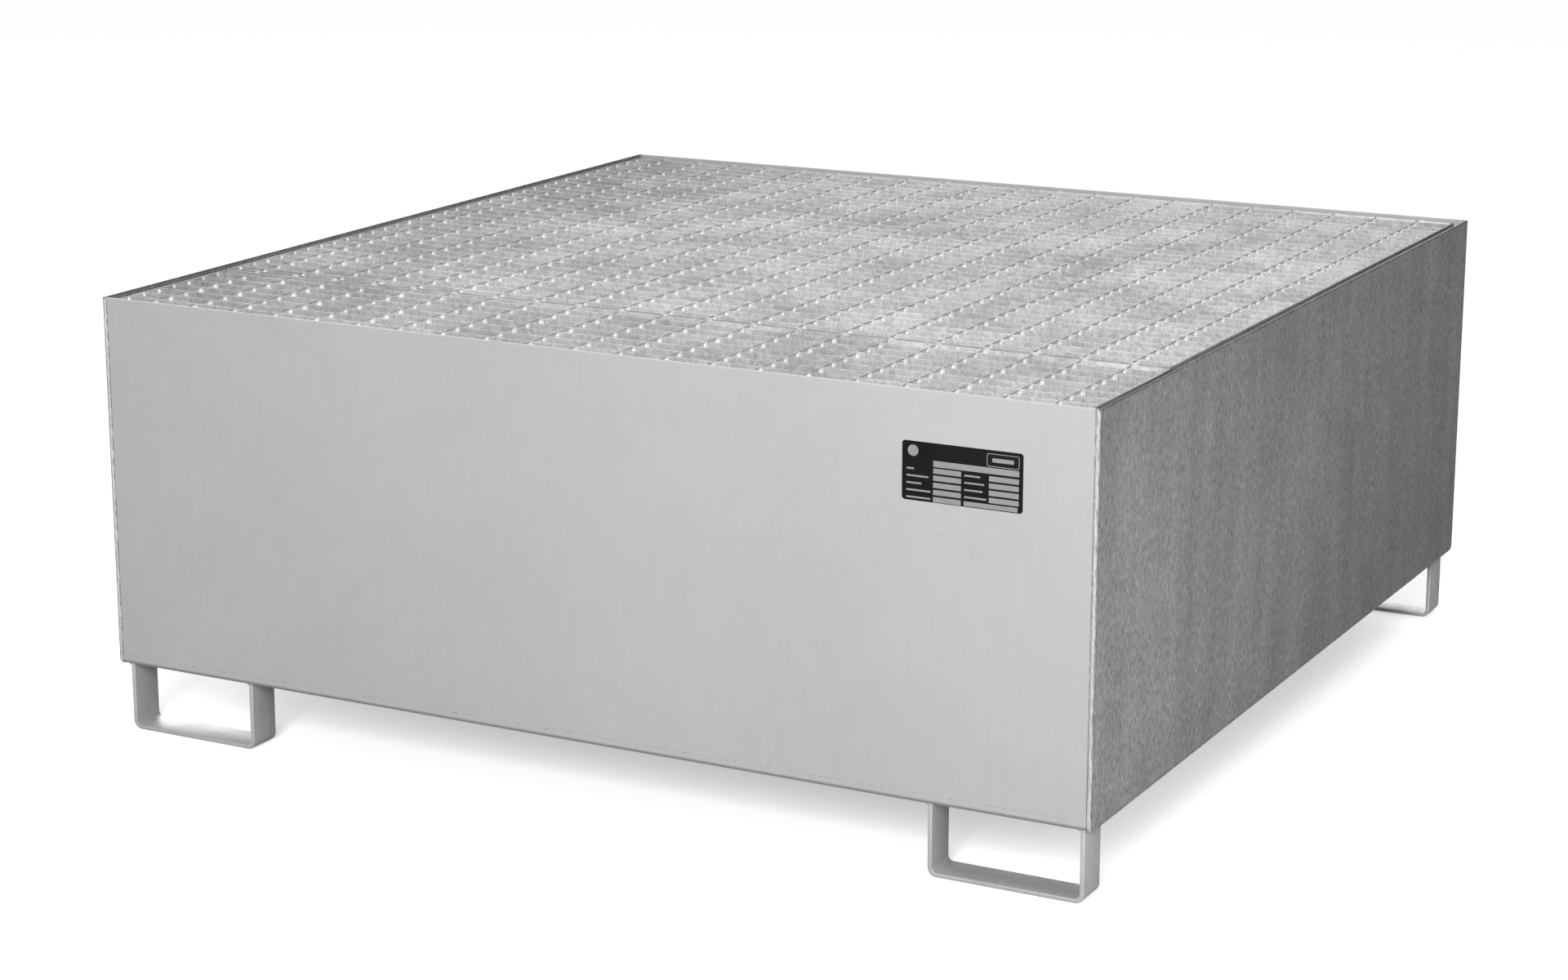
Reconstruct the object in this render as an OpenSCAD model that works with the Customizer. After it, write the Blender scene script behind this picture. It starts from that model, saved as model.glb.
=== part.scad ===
// Spill containment pallet: a welded sheet steel sump on four bent feet, with two
// lift-off gratings that carry the load above it.
// The origin is the centre of the footprint, on the floor. The front faces -Y, up is +Z.

/* [Sump] */
// Overall width, left to right
pallet_w = 1460; // [1400:10:1600]
// Overall depth, front to rear
pallet_d = 1460; // [1300:10:1600]
// Height of the sump walls, without the feet
sump_h = 520; // [300:10:600]
// Thickness of the sheet
sheet_t = 3; // [2:0.5:4]
// Outer radius of the folds along the bottom
fold_r = 8; // [6:1:15]

/* [Corner welds] */
// Width of the weld seam on the upright corners
weld_w = 8; // [5:1:12]
// How far the seam stands proud of the sheet
weld_rise = 1.2; // [0.8:0.2:2]
// Thickness of the seam along its two edges
weld_edge = 0.3; // [0.2:0.1:0.5]

/* [Feet] */
// Height of the feet
foot_h = 95; // [60:5:140]
// Outer width of a foot
foot_w = 208; // [140:4:260]
// Width of the flat bar that a foot is bent from
strap_w = 50; // [40:5:80]
// Thickness of the flat bar
strap_t = 6; // [5:1:10]
// Outer radius of the bends in a foot
foot_bend_r = 13; // [11:1:20]
// Distance from the left feet to the left side
foot_inset_left = 14; // [5:1:40]
// Distance from the right feet to the right side
foot_inset_right = 10; // [5:1:40]
// Distance from the front feet to the front
foot_setback_front = 8; // [5:1:40]
// Distance from the rear feet to the rear
foot_setback_rear = 22; // [5:1:40]

/* [Grating] */
// How far the grating lies below the rim
rim_drop = 5; // [2:1:15]
// Height of the bearing bars and the border bands
bar_h = 30; // [25:5:40]
// Thickness of the bearing bars
bar_t = 3; // [2:0.5:5]
// Distance between bearing bars
bar_pitch = 33.333; // [30:0.333:40]
// Height of the cross bars
cross_h = 10; // [8:1:15]
// Thickness of the cross bars
cross_t = 2; // [1.5:0.5:3]
// Distance between cross bars
cross_pitch = 66.667; // [50:0.333:80]
// Thickness of the border bands
band_t = 3; // [2:0.5:5]
// Depth of the front panel
front_panel_d = 259; // [200:1:400]
// Gap between the two panels
panel_gap = 5.5; // [3:0.5:10]
// Gap between the front panel and the front wall
front_gap = 5.3; // [3:0.1:10]
// Gap between the rear panel and the rear wall
rear_gap = 3.8; // [3:0.1:10]
// How much narrower the panels are than the inside of the sump
side_slack = 19; // [10:1:25]
// Gap on the left of the front panel
front_panel_left_gap = 5; // [1:0.5:9]
// Gap on the left of the rear panel
rear_panel_left_gap = 2; // [1:0.5:9]
// From the left edge of the front panel to its first cross bar
front_first_cross = 49; // [30:1:66]
// From the left edge of the rear panel to its first cross bar
rear_first_cross = 46; // [30:1:66]
// From the front edge of the front panel to its first bearing bar
front_first_bar = 34.8; // [20:0.1:40]
// From the front edge of the rear panel to its first bearing bar
rear_first_bar = 28; // [20:0.1:40]

/* [Ledges and beams] */
// Leg of the ledge angles that the grating rests on
ledge_leg = 40; // [30:5:60]
// Thickness of the ledge angles
ledge_t = 4; // [3:1:6]
// Distance between the middles of the two support beams
beam_spacing = 490; // [300:10:700]
// Width of a support beam
beam_w = 50; // [40:5:80]
// Height of a support beam
beam_h = 60; // [50:5:100]
// Thickness of the beam's sheet
beam_t = 4; // [3:1:6]
// Outer radius of the beam's folds
beam_fold_r = 8; // [7:1:12]
// How far a beam seat stands out from the wall
seat_reach = 80; // [70:5:120]
// How far a beam seat runs down the wall
seat_drop = 60; // [40:5:100]
// Width of a beam seat
seat_w = 60; // [50:5:90]
// Thickness of a beam seat
seat_t = 6; // [4:1:8]

/* [Data plate] */
// Width of the data plate
plate_w = 158; // [80:1:200]
// Height of the data plate
plate_h = 73; // [40:1:120]
// Thickness of the data plate
plate_t = 0.6; // [0.4:0.1:1]
// Radius of the plate's corners
plate_corner_r = 4; // [2:1:10]
// Distance from the plate to the right side
plate_from_side = 96; // [40:1:400]
// Distance from the plate to the rim
plate_from_rim = 64; // [40:1:150]

/* [Hidden] */
$fn = 96;

left = -1;
right = 1;
front = -1;
rear = 1;

sheet_colour = "gainsboro";
weld_colour = "whitesmoke";
foot_colour = "silver";
inner_colour = "darkgray";
grating_colour = "lightgray";
plate_colour = "black";

// Sump: the tray's sheet lies back from the overall depth by the height of the weld seams
rim_z = foot_h + sump_h;
tray_w = pallet_w - 2 * sheet_t;
tray_d = pallet_d - 2 * weld_rise;
inner_d = tray_d - 2 * sheet_t;
weld_crown = weld_rise - weld_edge;
weld_r = (weld_w * weld_w / 4 + weld_crown * weld_crown) / (2 * weld_crown);
weld_h = sump_h - fold_r - 1;

// Grating
bar_top_z = rim_z - rim_drop;
bar_bottom_z = bar_top_z - bar_h;
cross_z = bar_top_z - cross_h;
panel_w = tray_w - side_slack;
rear_panel_d = inner_d - front_gap - front_panel_d - panel_gap - rear_gap;
front_panel_x = front_panel_left_gap - tray_w / 2;
rear_panel_x = rear_panel_left_gap - tray_w / 2;
front_panel_y = front_gap - inner_d / 2;
rear_panel_y = front_panel_y + front_panel_d + panel_gap;
least_end_space = 8; // clear space kept between the last bar and the border band

// Ledges and beams
beam_length = inner_d - 2 * ledge_leg;
side_ledge_length = inner_d - 2 * ledge_leg;
beam_bottom_z = bar_bottom_z - beam_h;

// Where the bars of a panel lie, measured from the panel's edge
function places(first, pitch, end) =
  [for (at = [first : pitch : end - band_t - least_end_space]) at];

// The four corners of one notch in a bearing bar, from right to left
function notch(x) = [
  [x + cross_t / 2, bar_h],
  [x + cross_t / 2, bar_h - cross_h],
  [x - cross_t / 2, bar_h - cross_h],
  [x - cross_t / 2, bar_h]
];

// Flat outlines, with X across and Y up

module rounded_bottom(w, h, r) {
  translate([-w / 2, r]) square([w, h - r]);
  translate([-w / 2 + r, 0]) square([w - 2 * r, r]);
  for (side = [left, right])
    translate([side * (w / 2 - r), r]) circle(r);
}

module u_fold(w, h, t, r) {
  difference() {
    rounded_bottom(w, h, r);
    translate([0, t]) rounded_bottom(w - 2 * t, h, r - t);
  }
}

module angle_outline(reach, drop, t) {
  translate([0, -t]) square([reach, t]);
  translate([0, -drop]) square([t, drop]);
}

module rounded_rectangle(w, h, r) {
  square([w - 2 * r, h], center = true);
  square([w, h - 2 * r], center = true);
  for (x = [-w / 2 + r, w / 2 - r], y = [-h / 2 + r, h / 2 - r])
    translate([x, y]) circle(r);
}

// Turn an outline into a bar: along_x sets the outline's X along +Y, along_y along +X

module along_x(length) {
  rotate([90, 0, 90]) linear_extrude(length, center = true) children();
}

module along_y(length) {
  rotate([90, 0, 0]) linear_extrude(length, center = true) children();
}

// Sump

module tray() {
  color(sheet_colour)
    translate([0, 0, foot_h]) along_x(tray_w) u_fold(tray_d, sump_h, sheet_t, fold_r);
}

module side_plate(side) {
  color(sheet_colour)
    translate([side * (pallet_w - sheet_t) / 2, 0, foot_h])
      along_x(sheet_t) rounded_bottom(tray_d, sump_h, fold_r);
}

module side_plate_left() { side_plate(left); }
module side_plate_right() { side_plate(right); }

module corner_weld(side, end) {
  color(weld_colour)
    translate([side * (pallet_w - weld_w) / 2, end * tray_d / 2, foot_h + fold_r])
      linear_extrude(weld_h)
        intersection() {
          translate([0, end * (weld_rise - weld_r)]) circle(weld_r);
          translate([0, end * weld_rise / 2]) square([weld_w, weld_rise], center = true);
        }
}

module corner_weld_front_left() { corner_weld(left, front); }
module corner_weld_front_right() { corner_weld(right, front); }
module corner_weld_rear_left() { corner_weld(left, rear); }
module corner_weld_rear_right() { corner_weld(right, rear); }

// Feet

module foot(side, end) {
  inset = side == left ? foot_inset_left : foot_inset_right;
  setback = end == front ? foot_setback_front : foot_setback_rear;
  color(foot_colour)
    translate([side * (pallet_w / 2 - inset - foot_w / 2), end * (pallet_d / 2 - setback - strap_w / 2), 0])
      along_y(strap_w) u_fold(foot_w, foot_h, strap_t, foot_bend_r);
}

module foot_front_left() { foot(left, front); }
module foot_front_right() { foot(right, front); }
module foot_rear_left() { foot(left, rear); }
module foot_rear_right() { foot(right, rear); }

// Ledges, beams and seats

module long_ledge(end) {
  color(inner_colour)
    mirror([0, end == rear ? 1 : 0, 0])
      translate([0, -inner_d / 2, bar_bottom_z])
        along_x(tray_w) angle_outline(ledge_leg, ledge_leg, ledge_t);
}

module ledge_front() { long_ledge(front); }
module ledge_rear() { long_ledge(rear); }

module side_ledge(side) {
  color(inner_colour)
    mirror([side == right ? 1 : 0, 0, 0])
      translate([-tray_w / 2, 0, bar_bottom_z])
        along_y(side_ledge_length) angle_outline(ledge_leg, ledge_leg, ledge_t);
}

module ledge_left() { side_ledge(left); }
module ledge_right() { side_ledge(right); }

module support_beam(side) {
  color(inner_colour)
    translate([side * beam_spacing / 2, 0, bar_bottom_z])
      mirror([0, 0, 1]) along_y(beam_length) u_fold(beam_w, beam_h, beam_t, beam_fold_r);
}

module support_beam_left() { support_beam(left); }
module support_beam_right() { support_beam(right); }

module beam_seat(side, end) {
  color(inner_colour)
    mirror([0, end == rear ? 1 : 0, 0])
      translate([side * beam_spacing / 2, -inner_d / 2, beam_bottom_z])
        along_x(seat_w) angle_outline(seat_reach, seat_drop, seat_t);
}

module beam_seat_front_left() { beam_seat(left, front); }
module beam_seat_front_right() { beam_seat(right, front); }
module beam_seat_rear_left() { beam_seat(left, rear); }
module beam_seat_rear_right() { beam_seat(right, rear); }

// Data plate

module data_plate() {
  color(plate_colour)
    translate([pallet_w / 2 - plate_from_side - plate_w / 2, -(tray_d + plate_t) / 2,
               rim_z - plate_from_rim - plate_h / 2])
      along_y(plate_t) rounded_rectangle(plate_w, plate_h, plate_corner_r);
}

// Grating panels

// Notched flat bars, side by side; the notches take the cross bars flush with the top
module bearing_bars(first_bar, depth, first_cross) {
  length = panel_w - 2 * band_t;
  crossings = places(first_cross, cross_pitch, panel_w);
  outline = [
    [0, 0], [length, 0], [length, bar_h],
    each [for (i = [len(crossings) - 1 : -1 : 0]) each notch(crossings[i] - band_t)],
    [0, bar_h]
  ];
  color(grating_colour)
    for (y = places(first_bar, bar_pitch, depth))
      translate([band_t, y, bar_bottom_z]) along_y(bar_t) polygon(outline);
}

module cross_bars(first_cross, depth) {
  color(grating_colour)
    for (x = places(first_cross, cross_pitch, panel_w))
      translate([x - cross_t / 2, band_t, cross_z]) cube([cross_t, depth - 2 * band_t, cross_h]);
}

// Border band between the side bands: y is its front face
module cross_band(y) {
  color(grating_colour)
    translate([band_t, y, bar_bottom_z]) cube([panel_w - 2 * band_t, band_t, bar_h]);
}

module side_band(x, depth) {
  color(grating_colour)
    translate([x, 0, bar_bottom_z]) cube([band_t, depth, bar_h]);
}

module in_front_panel() {
  translate([front_panel_x, front_panel_y, 0]) children();
}

module in_rear_panel() {
  translate([rear_panel_x, rear_panel_y, 0]) children();
}

module front_bearing_bars() {
  in_front_panel() bearing_bars(front_first_bar, front_panel_d, front_first_cross);
}
module front_cross_bars() { in_front_panel() cross_bars(front_first_cross, front_panel_d); }
module front_panel_band_front() { in_front_panel() cross_band(0); }
module front_panel_band_rear() { in_front_panel() cross_band(front_panel_d - band_t); }
module front_panel_band_left() { in_front_panel() side_band(0, front_panel_d); }
module front_panel_band_right() { in_front_panel() side_band(panel_w - band_t, front_panel_d); }

module rear_bearing_bars() {
  in_rear_panel() bearing_bars(rear_first_bar, rear_panel_d, rear_first_cross);
}
module rear_cross_bars() { in_rear_panel() cross_bars(rear_first_cross, rear_panel_d); }
module rear_panel_band_front() { in_rear_panel() cross_band(0); }
module rear_panel_band_rear() { in_rear_panel() cross_band(rear_panel_d - band_t); }
module rear_panel_band_left() { in_rear_panel() side_band(0, rear_panel_d); }
module rear_panel_band_right() { in_rear_panel() side_band(panel_w - band_t, rear_panel_d); }

tray();
side_plate_left();
side_plate_right();
corner_weld_front_left();
corner_weld_front_right();
corner_weld_rear_left();
corner_weld_rear_right();
foot_front_left();
foot_front_right();
foot_rear_left();
foot_rear_right();
ledge_front();
ledge_rear();
ledge_left();
ledge_right();
support_beam_left();
support_beam_right();
beam_seat_front_left();
beam_seat_front_right();
beam_seat_rear_left();
beam_seat_rear_right();
data_plate();
front_bearing_bars();
front_cross_bars();
front_panel_band_front();
front_panel_band_rear();
front_panel_band_left();
front_panel_band_right();
rear_bearing_bars();
rear_cross_bars();
rear_panel_band_front();
rear_panel_band_rear();
rear_panel_band_left();
rear_panel_band_right();
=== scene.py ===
# Looks for the spill containment pallet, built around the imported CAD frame.
# Metres throughout; the front faces -Y and the floor is at z = 0.
import math

import bmesh
import bpy
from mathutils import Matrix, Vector


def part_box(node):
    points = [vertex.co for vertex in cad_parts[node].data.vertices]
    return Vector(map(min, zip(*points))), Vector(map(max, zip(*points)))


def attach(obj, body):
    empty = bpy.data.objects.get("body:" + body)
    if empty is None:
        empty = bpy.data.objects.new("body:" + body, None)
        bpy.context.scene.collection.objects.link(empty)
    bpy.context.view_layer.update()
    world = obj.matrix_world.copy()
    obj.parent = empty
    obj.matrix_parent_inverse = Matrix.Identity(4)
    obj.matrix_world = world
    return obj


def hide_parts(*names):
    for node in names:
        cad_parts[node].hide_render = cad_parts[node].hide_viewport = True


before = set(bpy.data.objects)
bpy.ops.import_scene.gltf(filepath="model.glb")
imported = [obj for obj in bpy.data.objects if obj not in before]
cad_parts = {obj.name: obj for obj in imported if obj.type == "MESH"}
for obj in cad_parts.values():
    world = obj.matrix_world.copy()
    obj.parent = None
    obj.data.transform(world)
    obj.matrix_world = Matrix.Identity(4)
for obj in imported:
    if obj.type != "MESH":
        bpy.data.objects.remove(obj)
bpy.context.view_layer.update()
scene = bpy.context.scene
mm = 0.001
print("frame loaded:", len(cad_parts), "nodes")


# --- camera ---
camera = {
    "place": (2.168, -4.264, 1.488),
    "turn": (76.15, 0.19, 28.67),  # degrees
    "lens": 77.19,
    "shift": (0.0388, -0.0175),
}


def makeCamera():
    data = bpy.data.cameras.new("camera")
    data.lens = camera["lens"]
    data.shift_x, data.shift_y = camera["shift"]
    holder = bpy.data.objects.new("camera", data)
    holder.location = camera["place"]
    holder.rotation_euler = [math.radians(angle) for angle in camera["turn"]]
    scene.collection.objects.link(holder)
    scene.camera = holder


# --- shader groups ---
def newGroup(name, inputs, outputs):
    group = bpy.data.node_groups.new(name, "ShaderNodeTree")
    for label, kind, value in inputs:
        socket = group.interface.new_socket(label, in_out="INPUT", socket_type="NodeSocket" + kind)
        if value is not None:
            socket.default_value = value
    for label, kind in outputs:
        group.interface.new_socket(label, in_out="OUTPUT", socket_type="NodeSocket" + kind)
    return group, group.nodes.new("NodeGroupInput"), group.nodes.new("NodeGroupOutput")


def addMath(tree, operation, first, second=None):
    node = tree.nodes.new("ShaderNodeMath")
    node.operation = operation
    for socket, value in zip(node.inputs, (first, second)):
        if isinstance(value, bpy.types.NodeSocket):
            tree.links.new(value, socket)
        elif value is not None:
            socket.default_value = value
    return node.outputs[0]


def addScaled(tree, vector, factors):
    # multiplies a vector by sockets or numbers, one for each axis
    joined = tree.nodes.new("ShaderNodeCombineXYZ")
    for socket, value in zip(joined.inputs, factors):
        if isinstance(value, bpy.types.NodeSocket):
            tree.links.new(value, socket)
        else:
            socket.default_value = value
    node = tree.nodes.new("ShaderNodeVectorMath")
    node.operation = "MULTIPLY"
    tree.links.new(vector, node.inputs[0])
    tree.links.new(joined.outputs[0], node.inputs[1])
    return node.outputs[0]


def addNoise(tree, vector, detail, roughness=0.5):
    node = tree.nodes.new("ShaderNodeTexNoise")
    node.inputs["Scale"].default_value = 1
    node.inputs["Detail"].default_value = detail
    node.inputs["Roughness"].default_value = roughness
    tree.links.new(vector, node.inputs["Vector"])
    return node.outputs["Fac"]


def addCentred(tree, value, strength):
    # noise lies around 0.5: take that off and scale what is left
    return addMath(tree, "MULTIPLY", addMath(tree, "SUBTRACT", value, 0.5), strength)


def makeZincGroup():
    # mottled zinc: broad clouds, crystals and a fine grain between two greys
    group, given, made = newGroup(
        "zincMottle",
        [("Place", "Vector", None), ("Light", "Color", (0.6, 0.6, 0.6, 1)), ("Dark", "Color", (0.4, 0.4, 0.4, 1)),
         ("Cloud Size", "Float", 0.2), ("Cloud Strength", "Float", 1.0),
         ("Crystal Size", "Float", 0.012), ("Crystal Strength", "Float", 0.3),
         ("Grain Size", "Float", 0.002), ("Grain Strength", "Float", 0.4)],
        [("Color", "Color"), ("Tone", "Float"), ("Height", "Float")])
    place = given.outputs["Place"]

    def sized(label):
        return addMath(group, "DIVIDE", 1.0, given.outputs[label])

    cloudScale = sized("Cloud Size")
    clouds = addNoise(group, addScaled(group, place, (cloudScale,) * 3), 6, 0.6)
    crystal = group.nodes.new("ShaderNodeTexVoronoi")
    crystal.inputs["Scale"].default_value = 1
    crystalScale = sized("Crystal Size")
    group.links.new(addScaled(group, place, (crystalScale,) * 3), crystal.inputs["Vector"])
    shades = group.nodes.new("ShaderNodeSeparateColor")
    group.links.new(crystal.outputs["Color"], shades.inputs[0])
    grainScale = sized("Grain Size")
    grain = addNoise(group, addScaled(group, place, (grainScale,) * 3), 2, 0.6)

    tone = addMath(group, "ADD", 0.5, addCentred(group, clouds, given.outputs["Cloud Strength"]))
    tone = addMath(group, "ADD", tone, addCentred(group, shades.outputs[0], given.outputs["Crystal Strength"]))
    tone = addMath(group, "ADD", tone, addCentred(group, grain, given.outputs["Grain Strength"]))
    clamp = group.nodes.new("ShaderNodeClamp")
    group.links.new(tone, clamp.inputs["Value"])
    mix = group.nodes.new("ShaderNodeMix")
    mix.data_type = "RGBA"
    group.links.new(clamp.outputs[0], mix.inputs["Factor"])
    group.links.new(given.outputs["Dark"], mix.inputs[6])
    group.links.new(given.outputs["Light"], mix.inputs[7])
    group.links.new(mix.outputs[2], made.inputs["Color"])
    group.links.new(clamp.outputs[0], made.inputs["Tone"])
    group.links.new(addMath(group, "ADD", addMath(group, "MULTIPLY", grain, 0.35), clouds), made.inputs["Height"])
    return group


def makeStreakGroup():
    # soft runs stretched along one axis, as the zinc drained or the sheet was rolled
    group, given, made = newGroup(
        "drainStreaks",
        [("Place", "Vector", None), ("Size X", "Float", 0.01), ("Size Y", "Float", 0.01), ("Size Z", "Float", 0.1),
         ("Strength", "Float", 1.0)],
        [("Shade", "Float"), ("Height", "Float")])
    sizes = [addMath(group, "DIVIDE", 1.0, given.outputs[label]) for label in ("Size X", "Size Y", "Size Z")]
    streaks = addNoise(group, addScaled(group, given.outputs["Place"], sizes), 4, 0.65)
    shade = addMath(group, "ADD", 1.0, addCentred(group, streaks, given.outputs["Strength"]))
    group.links.new(shade, made.inputs["Shade"])
    group.links.new(streaks, made.inputs["Height"])
    return group


def makeShadeAndMarkLineGroup():
    # a dark line at one distance, broken up along its length; it paints shade, paints a highlight where its strength
    # is negative, and also draws real zinc marks
    group, given, made = newGroup(
        "shadeAndMarkLine",
        [("Place", "Vector", None), ("Distance", "Float", 0.0), ("Line", "Float", 0.0), ("Width", "Float", 0.001),
         ("Speck Size", "Float", 0.01), ("Gaps", "Float", 0.4), ("Strength", "Float", 0.5)],
        [("Shade", "Float")])
    away = addMath(group, "ABSOLUTE", addMath(group, "SUBTRACT", given.outputs["Distance"], given.outputs["Line"]))
    near = addMath(group, "SUBTRACT", 1.0, addMath(group, "DIVIDE", away, given.outputs["Width"]))
    line = group.nodes.new("ShaderNodeClamp")
    group.links.new(near, line.inputs["Value"])
    speck = addMath(group, "DIVIDE", 1.0, given.outputs["Speck Size"])
    noise = addNoise(group, addScaled(group, given.outputs["Place"], (speck,) * 3), 3, 0.6)
    broken = group.nodes.new("ShaderNodeMapRange")
    group.links.new(noise, broken.inputs["Value"])
    group.links.new(given.outputs["Gaps"], broken.inputs["From Min"])
    group.links.new(addMath(group, "ADD", given.outputs["Gaps"], 0.12), broken.inputs["From Max"])
    mask = addMath(group, "MULTIPLY", line.outputs[0], broken.outputs[0])
    dark = addMath(group, "MULTIPLY", mask, given.outputs["Strength"])
    group.links.new(addMath(group, "SUBTRACT", 1.0, dark), made.inputs["Shade"])
    return group


def makeLeftDarkeningGroup():
    # darker towards the left side, with a ragged border
    group, given, made = newGroup(
        "darkerTowardsLeft",
        [("Place", "Vector", None), ("Reach", "Float", 0.4), ("Strength", "Float", 0.3), ("Ragged", "Float", 0.9),
         ("Patch Size", "Float", 0.16)],
        [("Shade", "Float")])
    parts = group.nodes.new("ShaderNodeSeparateXYZ")
    group.links.new(given.outputs["Place"], parts.inputs[0])
    patch = addMath(group, "DIVIDE", 1.0, given.outputs["Patch Size"])
    noise = addNoise(group, addScaled(group, given.outputs["Place"], (patch,) * 3), 6, 0.65)
    border = addMath(group, "ADD", parts.outputs["X"], addCentred(group, noise, given.outputs["Ragged"]))
    fade = group.nodes.new("ShaderNodeMapRange")
    fade.inputs["From Min"].default_value = -0.73
    group.links.new(border, fade.inputs["Value"])
    group.links.new(addMath(group, "SUBTRACT", given.outputs["Reach"], 0.73), fade.inputs["From Max"])
    dark = addMath(group, "MULTIPLY", addMath(group, "SUBTRACT", 1.0, fade.outputs[0]), given.outputs["Strength"])
    group.links.new(addMath(group, "SUBTRACT", 1.0, dark), made.inputs["Shade"])
    return group


def makeScuffGroup():
    # fine pale scratches from handling, running along one axis
    group, given, made = newGroup(
        "handlingScuffs",
        [("Place", "Vector", None), ("Thickness", "Float", 0.0008), ("Length", "Float", 0.06),
         ("Amount", "Float", 0.3)],
        [("Mask", "Float")])
    thin = addMath(group, "DIVIDE", 1.0, given.outputs["Thickness"])
    long = addMath(group, "DIVIDE", 1.0, given.outputs["Length"])
    lines = addNoise(group, addScaled(group, given.outputs["Place"], (long, long, thin)), 1)
    where = addNoise(group, addScaled(group, given.outputs["Place"], (7.0, 7.0, 7.0)), 1)
    sharp = group.nodes.new("ShaderNodeMapRange")
    sharp.inputs["From Min"].default_value = 0.66
    sharp.inputs["From Max"].default_value = 0.74
    group.links.new(lines, sharp.inputs["Value"])
    patch = group.nodes.new("ShaderNodeMapRange")
    patch.inputs["From Min"].default_value = 0.5
    patch.inputs["From Max"].default_value = 0.62
    group.links.new(where, patch.inputs["Value"])
    both = addMath(group, "MULTIPLY", sharp.outputs[0], patch.outputs[0])
    group.links.new(addMath(group, "MULTIPLY", both, given.outputs["Amount"]), made.inputs["Mask"])
    return group


zincMottle = makeZincGroup()
drainStreaks = makeStreakGroup()
shadeAndMarkLine = makeShadeAndMarkLineGroup()
darkerTowardsLeft = makeLeftDarkeningGroup()
handlingScuffs = makeScuffGroup()


def placeGroup(tree, group, place, values):
    node = tree.nodes.new("ShaderNodeGroup")
    node.node_tree = group
    tree.links.new(place, node.inputs["Place"])
    for label, value in values.items():
        node.inputs[label].default_value = value
    return node


def grey(level):
    return (level, level, level, 1)


def makeZinc(name, look):
    material = bpy.data.materials.new(name)
    material.use_nodes = True
    tree = material.node_tree
    shader = tree.nodes["Principled BSDF"]
    place = tree.nodes.new("ShaderNodeTexCoord").outputs["Object"]
    parts = tree.nodes.new("ShaderNodeSeparateXYZ")
    tree.links.new(place, parts.inputs[0])
    mottle = placeGroup(tree, zincMottle, place, {
        "Light": grey(look["light"]), "Dark": grey(look["dark"]),
        "Cloud Size": look["clouds"][0], "Cloud Strength": look["clouds"][1],
        "Crystal Size": look["crystals"][0], "Crystal Strength": look["crystals"][1],
        "Grain Size": look["grain"][0], "Grain Strength": look["grain"][1]})
    streak = placeGroup(tree, drainStreaks, place, {
        "Size X": look["streaks"][0], "Size Y": look["streaks"][1], "Size Z": look["streaks"][2],
        "Strength": look["streaks"][3]})
    scuff = placeGroup(tree, handlingScuffs, place, {"Amount": look["scuffs"]})

    shade = streak.outputs["Shade"]
    if "bands" in look:
        band = placeGroup(tree, drainStreaks, place, {
            "Size X": look["bands"][0], "Size Y": look["bands"][1], "Size Z": look["bands"][2],
            "Strength": look["bands"][3]})
        shade = addMath(tree, "MULTIPLY", shade, band.outputs["Shade"])
    # lines of painted shade, painted highlight and real zinc marks darken or lighten the colour
    for axis, line, width, speck, gaps, strength in look.get("shadeAndMarkLines", ()):
        shadeMark = placeGroup(tree, shadeAndMarkLine, place, {
            "Line": line, "Width": width, "Speck Size": speck, "Gaps": gaps, "Strength": strength})
        tree.links.new(addMath(tree, "ABSOLUTE", parts.outputs[axis]), shadeMark.inputs["Distance"])
        shade = addMath(tree, "MULTIPLY", shade, shadeMark.outputs["Shade"])
    if "leftDarkening" in look:
        leftDark = placeGroup(tree, darkerTowardsLeft, place, {"Reach": look["leftDarkening"][0], "Strength": look["leftDarkening"][1]})
        shade = addMath(tree, "MULTIPLY", shade, leftDark.outputs["Shade"])
    shaded = tree.nodes.new("ShaderNodeVectorMath")
    shaded.operation = "SCALE"
    tree.links.new(mottle.outputs["Color"], shaded.inputs[0])
    tree.links.new(shade, shaded.inputs["Scale"])
    worn = tree.nodes.new("ShaderNodeMix")
    worn.data_type = "RGBA"
    worn.inputs[7].default_value = grey(min(look["light"] * 1.25, 0.95))
    tree.links.new(scuff.outputs["Mask"], worn.inputs["Factor"])
    tree.links.new(shaded.outputs[0], worn.inputs[6])
    tree.links.new(worn.outputs[2], shader.inputs["Base Color"])

    rough = tree.nodes.new("ShaderNodeMapRange")
    rough.inputs["To Min"].default_value = look["roughness"] + 0.07
    rough.inputs["To Max"].default_value = look["roughness"] - 0.07
    tree.links.new(mottle.outputs["Tone"], rough.inputs["Value"])
    tree.links.new(rough.outputs[0], shader.inputs["Roughness"])
    shader.inputs["Metallic"].default_value = look["metallic"]
    shader.inputs["Specular IOR Level"].default_value = look.get("specular", 0.5)

    relief = addMath(tree, "ADD", mottle.outputs["Height"], streak.outputs["Height"])
    bump = tree.nodes.new("ShaderNodeBump")
    bump.inputs["Strength"].default_value = look["relief"]
    bump.inputs["Distance"].default_value = 0.0006
    tree.links.new(relief, bump.inputs["Height"])
    tree.links.new(bump.outputs[0], shader.inputs["Normal"])
    return material
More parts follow.
